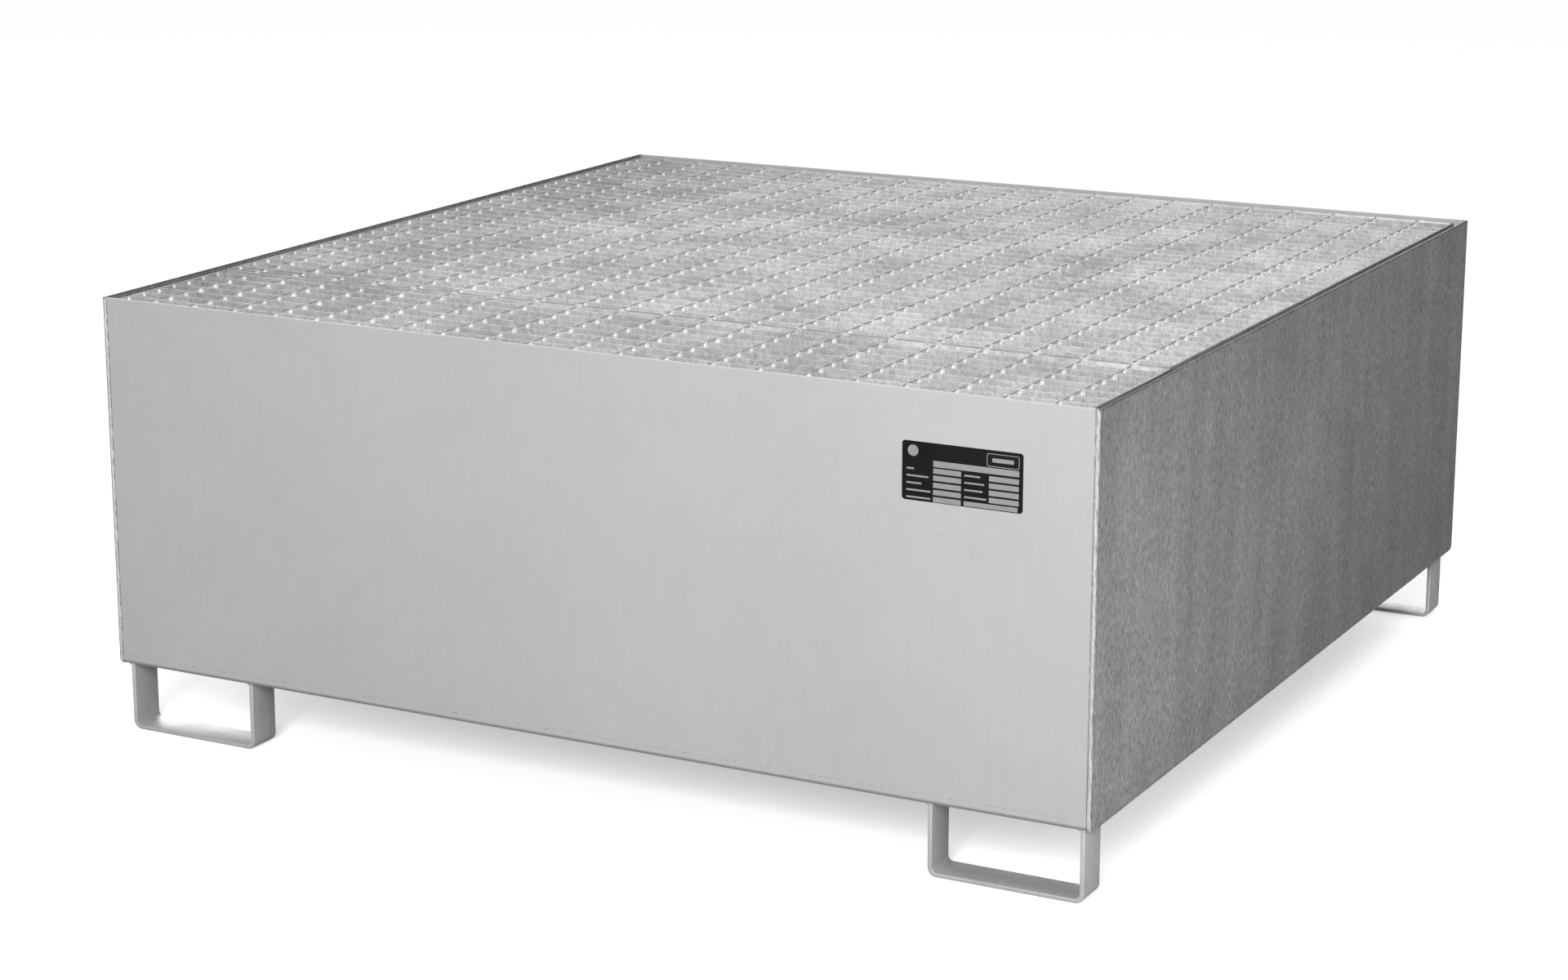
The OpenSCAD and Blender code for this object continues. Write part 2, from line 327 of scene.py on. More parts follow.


# sizes in metres; each pair is (size, strength), streaks and bands are (x, y, z, strength),
# a shade-and-mark line is (axis, distance from the middle, half width, speck size, gaps, strength) and is
# pale where its strength is negative, and leftDarkening is (reach from the left edge, strength)
zincLooks = {
    # sheetZinc lines: painted shade in the crease beside each corner weld (X) and along the bottom bend (Z 0.099),
    # real zinc marks 13 mm up, and a painted highlight on the top rim
    "sheetZinc": {"light": 0.475, "dark": 0.405, "clouds": (0.25, 1.0), "crystals": (0.016, 0.1),
                  "grain": (0.002, 0.35), "streaks": (0.010, 0.010, 0.08, 0.08), "scuffs": 0.05,
                  "roughness": 0.72, "metallic": 0.12, "relief": 0.08,
                  "shadeAndMarkLines": [("X", 0.7241, 0.0016, 0.014, 0.36, 0.65), ("Z", 0.0990, 0.003, 0.03, 0.2, 0.4),
                             ("Z", 0.108, 0.0013, 0.0035, 0.52, 0.5), ("Z", 0.6152, 0.0016, 0.03, 0.2, -0.45)]},
    # plateZinc lines: painted shade beside each corner weld (Y) and under the plate's top edge (Z)
    "plateZinc": {"light": 0.345, "dark": 0.21, "clouds": (0.12, 1.0), "crystals": (0.012, 0.15),
                  "grain": (0.0012, 1.1), "streaks": (0.0032, 0.0032, 0.010, 2.4), "scuffs": 0.08,
                  "bands": (0.04, 0.04, 0.6, 0.6), "roughness": 0.6, "metallic": 0.3, "relief": 0.3,
                  "shadeAndMarkLines": [("Y", 0.7262, 0.0014, 0.02, 0.3, 0.4), ("Z", 0.6148, 0.0030, 0.02, 0.25, 0.55)]},
    # barZinc's line darkens the bar tops a little: painted shade
    "barZinc": {"light": 0.77, "dark": 0.42, "clouds": (0.13, 1.9), "crystals": (0.007, 0.4),
                "grain": (0.0022, 1.1), "streaks": (0.0035, 0.0035, 0.016, 0.85), "scuffs": 0.1,
                "roughness": 0.62, "metallic": 0.3, "relief": 0.45, "leftDarkening": (0.36, 0.22),
                "shadeAndMarkLines": [("Z", 0.6102, 0.0009, 0.012, 0.3, 0.1)]},
    "bandZinc": {"light": 0.78, "dark": 0.52, "clouds": (0.10, 1.7), "crystals": (0.009, 0.4),
                 "grain": (0.0022, 1.0), "streaks": (0.03, 0.03, 0.004, 0.5), "scuffs": 0.1,
                 "roughness": 0.62, "metallic": 0.3, "relief": 0.4, "leftDarkening": (0.36, 0.22)},
    # gapZinc is a dark copy of the band zinc: painted shade on the grating's right end bands, in the gap by the side
    # plate
    "gapZinc": {"light": 0.34, "dark": 0.20, "clouds": (0.05, 1.7), "crystals": (0.009, 0.4),
                "grain": (0.0022, 1.0), "streaks": (0.03, 0.03, 0.004, 0.7), "scuffs": 0.1,
                "roughness": 0.66, "metallic": 0.3, "relief": 0.4, "leftDarkening": (0.36, 0.22)},
    # crossZinc is paler than barZinc as painted light on the cross bars' sides, and its line at the top is painted
    # shade
    "crossZinc": {"light": 0.95, "dark": 0.74, "clouds": (0.14, 1.2), "crystals": (0.009, 0.3),
                  "grain": (0.0022, 0.8), "streaks": (0.004, 0.02, 0.004, 0.5), "scuffs": 0.05,
                  "roughness": 0.58, "metallic": 0.25, "relief": 0.3, "leftDarkening": (0.36, 0.22),
                  "shadeAndMarkLines": [("Z", 0.6100, 0.0024, 0.03, 0.0, 0.8)]},
    "footZinc": {"light": 0.58, "dark": 0.44, "clouds": (0.05, 1.1), "crystals": (0.012, 0.15),
                 "grain": (0.002, 0.4), "streaks": (0.006, 0.006, 0.06, 0.3), "scuffs": 0.1,
                 "roughness": 0.52, "metallic": 0.4, "relief": 0.2},
    "innerZinc": {"light": 0.50, "dark": 0.34, "clouds": (0.1, 1.2), "crystals": (0.014, 0.3),
                  "grain": (0.002, 0.4), "streaks": (0.01, 0.01, 0.15, 0.3), "scuffs": 0.1,
                  "roughness": 0.6, "metallic": 0.35, "relief": 0.2},
    # weldZinc is paler than the sheet: a painted highlight on the weld beads, drips and foot beads
    "weldZinc": {"light": 0.74, "dark": 0.46, "clouds": (0.012, 1.8), "crystals": (0.004, 0.3),
                 "grain": (0.001, 0.6), "streaks": (0.004, 0.004, 0.012, 0.5), "scuffs": 0.0,
                 "roughness": 0.42, "metallic": 0.35, "relief": 0.5},
    # lumpZinc is paler than the bars: a painted highlight on the zinc lumps and weld spots
    "lumpZinc": {"light": 0.86, "dark": 0.58, "clouds": (0.02, 2.0), "crystals": (0.004, 0.1),
                 "grain": (0.001, 0.3), "streaks": (0.01, 0.01, 0.02, 0.1), "scuffs": 0.0,
                 "roughness": 0.5, "metallic": 0.25, "relief": 0.15, "leftDarkening": (0.36, 0.08)},
    "plateFilm": {"light": 0.014, "dark": 0.006, "clouds": (0.03, 1.0), "crystals": (0.004, 0.1),
                  "grain": (0.0008, 0.5), "streaks": (0.02, 0.001, 0.001, 0.6), "scuffs": 0.35,
                  "roughness": 0.42, "metallic": 0.0, "specular": 0.1, "relief": 0.05},
    "satinField": {"light": 0.40, "dark": 0.27, "clouds": (0.02, 1.2), "crystals": (0.003, 0.1),
                   "grain": (0.0006, 0.4), "streaks": (0.02, 0.0006, 0.0006, 0.5), "scuffs": 0.1,
                   "roughness": 0.55, "metallic": 0.4, "relief": 0.05},
    "captionPaint": {"light": 0.34, "dark": 0.18, "clouds": (0.004, 1.4), "crystals": (0.002, 0.2),
                     "grain": (0.0006, 0.8), "streaks": (0.004, 0.001, 0.001, 0.5), "scuffs": 0.0,
                     "roughness": 0.6, "metallic": 0.0, "relief": 0.02},
}
# jointZinc: a darker band zinc, as painted shade in the gap where the two panels meet
zincLooks["jointZinc"] = dict(zincLooks["gapZinc"], light=0.40, dark=0.26)
# frontBarZinc: a darker barZinc, as painted shade over the front panel
zincLooks["frontBarZinc"] = dict(zincLooks["barZinc"], light=0.67, dark=0.38)
materials = {name: makeZinc(name, look) for name, look in zincLooks.items()}
print("zinc materials made")


# --- geometry trees ---
def newTree(name, inputs):
    tree = bpy.data.node_groups.new(name, "GeometryNodeTree")
    tree.is_modifier = True
    tree.interface.new_socket("Geometry", in_out="INPUT", socket_type="NodeSocketGeometry")
    for label, kind in inputs:
        tree.interface.new_socket(label, in_out="INPUT", socket_type="NodeSocket" + kind)
    tree.interface.new_socket("Geometry", in_out="OUTPUT", socket_type="NodeSocketGeometry")
    return tree, tree.nodes.new("NodeGroupInput"), tree.nodes.new("NodeGroupOutput")


def addNode(tree, kind, links=None, **settings):
    # links maps an input's name or number to a socket or a plain value
    node = tree.nodes.new(kind)
    for label, value in settings.items():
        setattr(node, label, value)
    for label, value in (links or {}).items():
        if isinstance(value, bpy.types.NodeSocket):
            tree.links.new(value, node.inputs[label])
        else:
            node.inputs[label].default_value = value
    return node


def closeTree(tree, geometry, material, made):
    realised = addNode(tree, "GeometryNodeRealizeInstances", {"Geometry": geometry})
    painted = addNode(tree, "GeometryNodeSetMaterial", {"Geometry": realised.outputs[0], "Material": material})
    tree.links.new(painted.outputs[0], made.inputs[0])


def linkPiece(name, mesh):
    piece = bpy.data.objects.new(name, mesh)
    scene.collection.objects.link(piece)
    return piece


def settle(piece):
    # turns what the modifiers make into the piece's own plain mesh
    bpy.context.view_layer.update()
    graph = bpy.context.evaluated_depsgraph_get()
    mesh = bpy.data.meshes.new_from_object(piece.evaluated_get(graph), depsgraph=graph)
    piece.modifiers.clear()
    piece.data = mesh
    return piece


def grow(tree, name, values, start=None):
    piece = linkPiece(name, start or bpy.data.meshes.new(name))
    modifier = piece.modifiers.new("grow", "NODES")
    modifier.node_group = tree
    for item in tree.interface.items_tree:
        if item.in_out == "INPUT" and item.name in values:
            modifier[item.identifier] = values[item.name]
    return settle(piece)


def finishPiece(piece, body, replaced=()):
    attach(piece, body)
    if replaced:
        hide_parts(*replaced)
    return piece


def makeBarTree():
    # a row of flat bars with rounded edges
    tree, given, made = newTree("barRow", [
        ("Length", "Float"), ("Height", "Float"), ("Thickness", "Float"), ("Edge Radius", "Float"),
        ("Count", "Int"), ("First", "Vector"), ("Step", "Vector"), ("Bar Turn", "Vector"), ("Material", "Material")])
    end = addNode(tree, "ShaderNodeCombineXYZ", {"Z": given.outputs["Length"]})
    line = addNode(tree, "GeometryNodeCurvePrimitiveLine", {"End": end.outputs[0]})
    outline = addNode(tree, "GeometryNodeCurvePrimitiveQuadrilateral",
                      {"Width": given.outputs["Height"], "Height": given.outputs["Thickness"]})
    rounded = addNode(tree, "GeometryNodeFilletCurve", {
        "Curve": outline.outputs[0], "Radius": given.outputs["Edge Radius"], "Count": 2}, mode="POLY")
    bar = addNode(tree, "GeometryNodeCurveToMesh", {"Curve": line.outputs[0], "Profile Curve": rounded.outputs[0],
                                                   "Fill Caps": True})
    flat = addNode(tree, "GeometryNodeSetShadeSmooth", {"Geometry": bar.outputs[0], "Shade Smooth": False})
    row = addNode(tree, "GeometryNodeMeshLine", {
        "Count": given.outputs["Count"], "Start Location": given.outputs["First"],
        "Offset": given.outputs["Step"]}, mode="OFFSET")
    placed = addNode(tree, "GeometryNodeInstanceOnPoints", {"Points": row.outputs[0], "Instance": flat.outputs[0],
                                                            "Rotation": given.outputs["Bar Turn"]})
    closeTree(tree, placed.outputs[0], given.outputs["Material"], made)
    return tree


def makeCrossingTree():
    # one copy of a pattern on each point of a grid, each scaled a little differently
    tree, given, made = newTree("gridCopies", [
        ("Pattern", "Object"), ("Columns", "Int"), ("Rows", "Int"), ("Column Pitch", "Float"), ("Row Pitch", "Float"),
        ("Centre", "Vector"), ("Variation", "Float"), ("Seed", "Int"), ("Material", "Material")])

    def span(count, pitch):
        steps = addNode(tree, "ShaderNodeMath", {0: given.outputs[count], 1: 1.0}, operation="SUBTRACT")
        return addNode(tree, "ShaderNodeMath", {0: steps.outputs[0], 1: given.outputs[pitch]},
                       operation="MULTIPLY").outputs[0]

    grid = addNode(tree, "GeometryNodeMeshGrid", {
        "Size X": span("Columns", "Column Pitch"), "Size Y": span("Rows", "Row Pitch"),
        "Vertices X": given.outputs["Columns"], "Vertices Y": given.outputs["Rows"]})
    moved = addNode(tree, "GeometryNodeTransform", {
        "Geometry": grid.outputs[0], "Translation": given.outputs["Centre"]})
    least = addNode(tree, "ShaderNodeMath", {0: 1.0, 1: given.outputs["Variation"]}, operation="SUBTRACT")
    most = addNode(tree, "ShaderNodeMath", {0: 1.0, 1: given.outputs["Variation"]}, operation="ADD")
    scales = addNode(tree, "FunctionNodeRandomValue", {2: least.outputs[0], 3: most.outputs[0],
                                                       "Seed": given.outputs["Seed"]}, data_type="FLOAT")
    pattern = addNode(tree, "GeometryNodeObjectInfo", {"Object": given.outputs["Pattern"]})
    placed = addNode(tree, "GeometryNodeInstanceOnPoints", {
        "Points": moved.outputs[0], "Instance": pattern.outputs["Geometry"], "Scale": scales.outputs[1]})
    closeTree(tree, placed.outputs[0], given.outputs["Material"], made)
    return tree


def makeDripTree():
    # copies of a pattern along a line, with chance shifts and sizes
    tree, given, made = newTree("edgeDrips", [
        ("Pattern", "Object"), ("Count", "Int"), ("First", "Vector"), ("Step", "Vector"), ("Shift", "Vector"),
        ("Least Size", "Vector"), ("Most Size", "Vector"), ("Seed", "Int"), ("Material", "Material")])
    line = addNode(tree, "GeometryNodeMeshLine", {
        "Count": given.outputs["Count"], "Start Location": given.outputs["First"],
        "Offset": given.outputs["Step"]}, mode="OFFSET")
    back = addNode(tree, "ShaderNodeVectorMath", {0: given.outputs["Shift"], "Scale": -1.0}, operation="SCALE")
    shift = addNode(tree, "FunctionNodeRandomValue", {0: back.outputs[0], 1: given.outputs["Shift"],
                                                      "Seed": given.outputs["Seed"]}, data_type="FLOAT_VECTOR")
    spread = addNode(tree, "GeometryNodeSetPosition", {"Geometry": line.outputs[0], "Offset": shift.outputs[0]})
    seed = addNode(tree, "ShaderNodeMath", {0: given.outputs["Seed"], 1: 7.0}, operation="ADD")
    sizes = addNode(tree, "FunctionNodeRandomValue", {0: given.outputs["Least Size"], 1: given.outputs["Most Size"],
                                                      "Seed": seed.outputs[0]}, data_type="FLOAT_VECTOR")
    pattern = addNode(tree, "GeometryNodeObjectInfo", {"Object": given.outputs["Pattern"]})
    placed = addNode(tree, "GeometryNodeInstanceOnPoints", {
        "Points": spread.outputs[0], "Instance": pattern.outputs["Geometry"], "Scale": sizes.outputs[0]})
    closeTree(tree, placed.outputs[0], given.outputs["Material"], made)
    return tree


def makeSeamTree():
    # a weld bead swept along the start mesh's edges, with ripples and a little wander
    tree, given, made = newTree("weldSeam", [
        ("Width", "Float"), ("Height", "Float"), ("Ring Spacing", "Float"), ("Ripple Length", "Float"),
        ("Ripple Depth", "Float"), ("Wander", "Float"), ("Across", "Vector"), ("Seed", "Float"),
        ("Material", "Material")])
    path = addNode(tree, "GeometryNodeMeshToCurve", {"Mesh": given.outputs["Geometry"]})
    spaced = addNode(tree, "GeometryNodeResampleCurve", {
        "Curve": path.outputs[0], "Length": given.outputs["Ring Spacing"]}, mode="LENGTH")
    along = addNode(tree, "GeometryNodeSplineParameter")
    position = addNode(tree, "GeometryNodeInputPosition")
    noisy = addNode(tree, "ShaderNodeTexNoise", {"Vector": position.outputs[0], "W": given.outputs["Seed"],
                                                 "Scale": 70.0, "Detail": 4.0}, noise_dimensions="4D")
    centred = addNode(tree, "ShaderNodeMath", {0: noisy.outputs["Fac"], 1: 0.5}, operation="SUBTRACT")
    amount = addNode(tree, "ShaderNodeMath", {0: centred.outputs[0], 1: given.outputs["Wander"]}, operation="MULTIPLY")
    drift = addNode(tree, "ShaderNodeVectorMath", {0: given.outputs["Across"], "Scale": amount.outputs[0]},
                    operation="SCALE")
    wandering = addNode(tree, "GeometryNodeSetPosition", {"Geometry": spaced.outputs[0], "Offset": drift.outputs[0]})
    turned = addNode(tree, "GeometryNodeSetCurveNormal", {"Curve": wandering.outputs[0],
                                                          "Normal": given.outputs["Across"]}, mode="FREE")

    phase = addNode(tree, "ShaderNodeMath", {0: along.outputs["Length"], 1: given.outputs["Ripple Length"]},
                    operation="DIVIDE")
    angle = addNode(tree, "ShaderNodeMath", {0: phase.outputs[0], 1: 2 * math.pi}, operation="MULTIPLY")
    wave = addNode(tree, "ShaderNodeMath", {0: angle.outputs[0]}, operation="SINE")
    depth = addNode(tree, "ShaderNodeMath", {0: wave.outputs[0], 1: given.outputs["Ripple Depth"]},
                    operation="MULTIPLY")
    lumps = addNode(tree, "ShaderNodeMath", {0: noisy.outputs["Fac"], 1: 1.1, 2: 0.34}, operation="MULTIPLY_ADD")
    rough = addNode(tree, "ShaderNodeMath", {0: lumps.outputs[0], 1: depth.outputs[0]}, operation="ADD")
    radius = addNode(tree, "ShaderNodeMath", {0: rough.outputs[0], 1: 1.0}, operation="MINIMUM")
    ring = addNode(tree, "GeometryNodeCurvePrimitiveCircle", {"Resolution": 12, "Radius": 0.5})
    flatness = addNode(tree, "ShaderNodeCombineXYZ", {
        "X": given.outputs["Width"], "Y": given.outputs["Height"], "Z": 1.0})
    oval = addNode(tree, "GeometryNodeTransform", {"Geometry": ring.outputs[0], "Scale": flatness.outputs[0]})
    bead = addNode(tree, "GeometryNodeCurveToMesh", {"Curve": turned.outputs[0], "Profile Curve": oval.outputs[0],
                                                    "Scale": radius.outputs[0], "Fill Caps": True})
    smooth = addNode(tree, "GeometryNodeSetShadeSmooth", {"Geometry": bead.outputs[0]})
    closeTree(tree, smooth.outputs[0], given.outputs["Material"], made)
    return tree


makeCamera()
barTree = makeBarTree()
crossingTree = makeCrossingTree()
seamTree = makeSeamTree()
dripTree = makeDripTree()
print("geometry trees made")


# --- sheet, feet and inner steel: the CAD shapes with softened, zinc-coated edges ---
def softenNode(node, name, body, material, edge, steps=2):
    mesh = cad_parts[node].data.copy()
    mesh.name = name
    shape = bmesh.new()
    shape.from_mesh(mesh)
    bmesh.ops.remove_doubles(shape, verts=shape.verts, dist=0.00001)
    bmesh.ops.dissolve_limit(shape, angle_limit=math.radians(0.6), verts=shape.verts, edges=shape.edges)
    shape.to_mesh(mesh)
    shape.free()
    mesh.materials.clear()
    mesh.materials.append(material)
    piece = linkPiece(name, mesh)
    bevel = piece.modifiers.new("edges", "BEVEL")
    bevel.width = edge
    bevel.segments = steps
    bevel.limit_method = "ANGLE"
    bevel.angle_limit = math.radians(35)
    settle(piece)
    smoothen(piece.data, 30)
    return finishPiece(piece, body, [node])


def smoothen(mesh, angle):
    # smooth everywhere but over edges sharper than the angle
    mesh.shade_smooth()
    mesh.set_sharp_from_angle(angle=math.radians(angle))


corners = ("front_left", "front_right", "rear_left", "rear_right")
softened = (  # nodes, body, slot, look, width of the softened edge
    (("tray",), "pan", "galvanised_sheet", "sheetZinc", 0.0007),
    (("side_plate_left", "side_plate_right"), "pan", "galvanised_sheet", "plateZinc", 0.0007),
    (["foot_" + corner for corner in corners], "pan", "galvanised_feet", "footZinc", 0.0011),
    (["ledge_" + side for side in ("front", "rear", "left", "right")],
     "pan", "galvanised_inner_steel", "innerZinc", 0.001),
    (("support_beam_left", "support_beam_right"), "pan", "galvanised_inner_steel", "innerZinc", 0.0006),
    (["beam_seat_" + corner for corner in corners], "pan", "galvanised_inner_steel", "innerZinc", 0.001),
    (("front_panel_band_front",), "front_grating", "galvanised_grating", "bandZinc", 0.0007),
    (("front_panel_band_rear",), "front_grating", "galvanised_grating", "frontBarZinc", 0.0007),
    (("front_panel_band_left",), "front_grating", "galvanised_grating", "bandZinc", 0.0007),
    (("front_panel_band_right",), "front_grating", "galvanised_grating", "gapZinc", 0.0007),
    (("rear_panel_band_front",), "rear_grating", "galvanised_grating", "jointZinc", 0.0007),
    (("rear_panel_band_rear", "rear_panel_band_left"), "rear_grating", "galvanised_grating", "bandZinc", 0.0007),
    (("rear_panel_band_right",), "rear_grating", "galvanised_grating", "gapZinc", 0.0007),
)
for nodes, body, slot, look, edge in softened:
    for node in nodes:
        softenNode(node, node + "_finish", body, materials[look], edge)
print("sheet, feet, inner steel and bands finished")


# --- gratings ---
grating = {
    "bearingPitch": 33.333 * mm, "crossPitch": 66.667 * mm, "edgeRadius": 0.8 * mm,
    "crossThick": 2 * mm, "crossEdgeRadius": 0.5 * mm,
    "crossDrop": 0.3 * mm,  # cross bars end just below the bearing bars
    "lumpReach": (6.2 * mm, 5.2 * mm), "lumpDepth": 11.5 * mm, "lumpTop": -0.7 * mm, "variation": 0.2,
    "lumpSunk": 0.4,  # how far a lump starts from the middle of a bar, as a share of its thickness
    "endReach": (4.5 * mm, 3.0 * mm), "endDepth": 9.0 * mm,
    "spotSize": (5.5 * mm, 1.5 * mm, 1.1 * mm), "spotShift": 6.0 * mm, "spotVariation": 0.25,
}
lumpLevels = ((-0.06, 0.70), (-0.45, 1.0), (-0.88, 0.70))  # shares of the depth and of the reach
lumpTurns = ((1.0, 0.0), (0.62, 0.36), (0.34, 0.72), (0.0, 1.0))  # from the bearing bar round to the cross bar


def countBars(low, high, thickness, pitch):
    return round((high - low - thickness) / pitch) + 1


def makeLumps(corners, reach, depth, halves):
    # zinc that ran into the corners where two bars meet, as closed lumps hanging from the origin
    shape = bmesh.new()
    last = len(lumpTurns) - 1
    for sideX, sideY in corners:
        def at(x, y, z):
            return shape.verts.new((sideX * x, sideY * y, z))

        head = at(0, 0, 0)
        tail = at(0, 0, -depth)
        rings = [[at(halves[0] + share * reach[0] * x, halves[1] + share * reach[1] * y, drop * depth)
                  for x, y in lumpTurns] for drop, share in lumpLevels]
        for step in range(last):
            shape.faces.new((head, rings[0][step + 1], rings[0][step]))
            shape.faces.new((tail, rings[-1][step], rings[-1][step + 1]))
            for upper, lower in zip(rings, rings[1:]):
                shape.faces.new((upper[step], upper[step + 1], lower[step + 1], lower[step]))
        shape.faces.new([head] + [ring[0] for ring in rings] + [tail])
        shape.faces.new([tail] + [ring[-1] for ring in reversed(rings)] + [head])
    bmesh.ops.recalc_face_normals(shape, faces=shape.faces)
    mesh = bpy.data.meshes.new("lump_pattern")
    shape.to_mesh(mesh)
    shape.free()
    mesh.shade_smooth()
    return linkPiece("lump_pattern", mesh)


def makeSpot(size):
    # one weld spot or drip, a small flattened closed ball
    shape = bmesh.new()
    bmesh.ops.create_uvsphere(shape, u_segments=8, v_segments=6, radius=1)
    for vert in shape.verts:
        vert.co = Vector(vert.co[axis] * size[axis] for axis in range(3))
    mesh = bpy.data.meshes.new("spot_pattern")
    shape.to_mesh(mesh)
    shape.free()
    mesh.shade_smooth()
    return linkPiece("spot_pattern", mesh)


def scatter(name, body, pattern, columns, rows, pitches, centre, seed, material, variation):
    # the pattern's copies on a grid, each a little different, as one piece
    piece = grow(crossingTree, name, {
        "Pattern": pattern, "Columns": columns, "Rows": rows, "Column Pitch": pitches[0], "Row Pitch": pitches[1],
        "Centre": centre, "Variation": variation, "Seed": seed, "Material": materials[material]})
    bpy.data.objects.remove(pattern)
    return finishPiece(piece, body)


def makePanel(side, seed, barLook):
    body = side + "_grating"
    bandLow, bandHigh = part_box(side + "_panel_band_left")
    barLow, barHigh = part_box(side + "_bearing_bars")
    crossLow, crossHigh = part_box(side + "_cross_bars")
    barThick = bandHigh.x - bandLow.x
    crossThick = grating["crossThick"]
    rows = countBars(barLow.y, barHigh.y, barThick, grating["bearingPitch"])
    columns = countBars(crossLow.x, crossHigh.x, crossThick, grating["crossPitch"])
    rowPitch = (barHigh.y - barLow.y - barThick) / (rows - 1)
    columnPitch = (crossHigh.x - crossLow.x - crossThick) / (columns - 1)

    bars = grow(barTree, side + "_bearing_bars_finish", {
        "Length": barHigh.x - barLow.x, "Height": barHigh.z - barLow.z, "Thickness": barThick,
        "Edge Radius": grating["edgeRadius"], "Count": rows,
        "First": (barLow.x, barLow.y + barThick / 2, (barLow.z + barHigh.z) / 2),
        "Step": (0, rowPitch, 0), "Bar Turn": (0, math.pi / 2, 0), "Material": materials[barLook]})
    finishPiece(bars, body, [side + "_bearing_bars"])

    crossHeight = crossHigh.z - crossLow.z - grating["crossDrop"]
    crossBars = grow(barTree, side + "_cross_bars_finish", {
        "Length": crossHigh.y - crossLow.y, "Height": crossHeight, "Thickness": crossThick,
        "Edge Radius": grating["crossEdgeRadius"], "Count": columns,
        "First": (crossLow.x + crossThick / 2, crossHigh.y, crossLow.z + crossHeight / 2),
        "Step": (columnPitch, 0, 0), "Bar Turn": (math.pi / 2, math.pi / 2, 0), "Material": materials["crossZinc"]})
    finishPiece(crossBars, body, [side + "_cross_bars"])

    middleX = (crossLow.x + crossHigh.x) / 2
    middleY = (barLow.y + barHigh.y) / 2
    lumpZ = crossHigh.z + grating["lumpTop"]
    halves = (crossThick * grating["lumpSunk"], barThick * grating["lumpSunk"])
    lumps = makeLumps([(1, 1), (1, -1), (-1, 1), (-1, -1)], grating["lumpReach"], grating["lumpDepth"], halves)
    scatter(side + "_crossing_zinc", body, lumps, columns, rows, (columnPitch, rowPitch),
            (middleX, middleY, lumpZ), seed, "lumpZinc", grating["variation"])
    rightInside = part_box(side + "_panel_band_right")[0].x
    for name, turn, x in (("left", 1, bandHigh.x), ("right", -1, rightInside)):
        lumps = makeLumps([(turn, 1), (turn, -1)], grating["endReach"], grating["endDepth"], (0, halves[1]))
        scatter(side + "_bar_end_zinc_" + name, body, lumps, 1, rows, (0, rowPitch),
                (x, middleY, lumpZ), seed + 1, "lumpZinc", grating["variation"])
    for name in ("front", "rear"):
        endLow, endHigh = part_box(side + "_panel_band_" + name)
        y = (endLow.y + endHigh.y) / 2
        scatter(side + "_weld_spots_" + name, body, makeSpot(grating["spotSize"]), columns, 1,
                (columnPitch, 0), (middleX + grating["spotShift"], y, crossHigh.z), seed + 2, "lumpZinc",
                grating["spotVariation"])
    print(side, "grating made:", rows, "bearing bars,", columns, "cross bars")


makePanel("front", 3, "frontBarZinc")
makePanel("rear", 8, "barZinc")


# --- weld seams round the ends of the tray ---
seam = {
    "width": 4.8 * mm, "height": 2.0 * mm,
    "centre": 3.4 * mm,  # from the plate's face in to the middle of the bead
    "spacing": 1.2 * mm, "ripple": 3.2 * mm, "rippleDepth": 0.05, "wander": 4.0 * mm,
    "bendRadius": 8 * mm, "bendSteps": 8, "endGap": 1.5 * mm,
}


def makeSeam(side, seed):
    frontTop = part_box("corner_weld_front_" + side)[1].z - seam["endGap"]
    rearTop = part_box("corner_weld_rear_" + side)[1].z - seam["endGap"]
    sheetLow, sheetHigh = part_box("tray")
    plateLow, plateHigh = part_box("side_plate_" + side)
    outside = plateLow.x if side == "left" else plateHigh.x
    x = outside - math.copysign(seam["centre"], outside)
    radius = seam["bendRadius"]
    points = [Vector((x, sheetLow.y, frontTop))]
    for endY, turn in ((sheetLow.y, -1), (sheetHigh.y, 1)):
        centre = Vector((x, endY - turn * radius, sheetLow.z + radius))
        for step in range(seam["bendSteps"] + 1):
            angle = math.radians(90 * step / seam["bendSteps"])
            if turn < 0:
                points.append(centre + radius * Vector((0, -math.cos(angle), -math.sin(angle))))
            else:
                points.append(centre + radius * Vector((0, math.sin(angle), -math.cos(angle))))
    points.append(Vector((x, sheetHigh.y, rearTop)))
    mesh = bpy.data.meshes.new("seam_path")
    mesh.from_pydata(points, [(at, at + 1) for at in range(len(points) - 1)], [])
    piece = grow(seamTree, "weld_seam_" + side, {
        "Width": seam["width"], "Height": seam["height"], "Ring Spacing": seam["spacing"],
        "Ripple Length": seam["ripple"], "Ripple Depth": seam["rippleDepth"], "Wander": seam["wander"],
        "Across": (1, 0, 0), "Seed": seed, "Material": materials["weldZinc"]}, mesh)
    finishPiece(piece, "pan", ["corner_weld_front_" + side, "corner_weld_rear_" + side])


makeSeam("left", 1.5)
makeSeam("right", 4.25)
print("weld seams made")


# --- zinc drips and the beads that hold the feet ---
drips = {
    "count": 46, "least": (1.2 * mm, 1.5 * mm, 0.6 * mm), "most": (3.2 * mm, 5.0 * mm, 2.4 * mm),
    "inset": 1.0 * mm, "sideShift": 1.0 * mm, "endSpace": 30 * mm,
    "footBead": 4.5 * mm, "beadSpacing": 1.8 * mm, "beadWander": 1.2 * mm, "footStrap": 6 * mm,
}


def makeEdgeDrips(side, x, seed):
    low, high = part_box("tray")
    pace = (high.y - low.y - 2 * drips["endSpace"]) / (drips["count"] - 1)
    pattern = makeSpot((1, 1, 1))
    piece = grow(dripTree, "edge_drips_" + side, {
        "Pattern": pattern, "Count": drips["count"], "First": (x, low.y + drips["endSpace"], low.z),
        "Step": (0, pace, 0), "Shift": (drips["sideShift"], pace, 0), "Least Size": drips["least"],
        "Most Size": drips["most"], "Seed": seed, "Material": materials["weldZinc"]})
    bpy.data.objects.remove(pattern)
    finishPiece(piece, "pan")


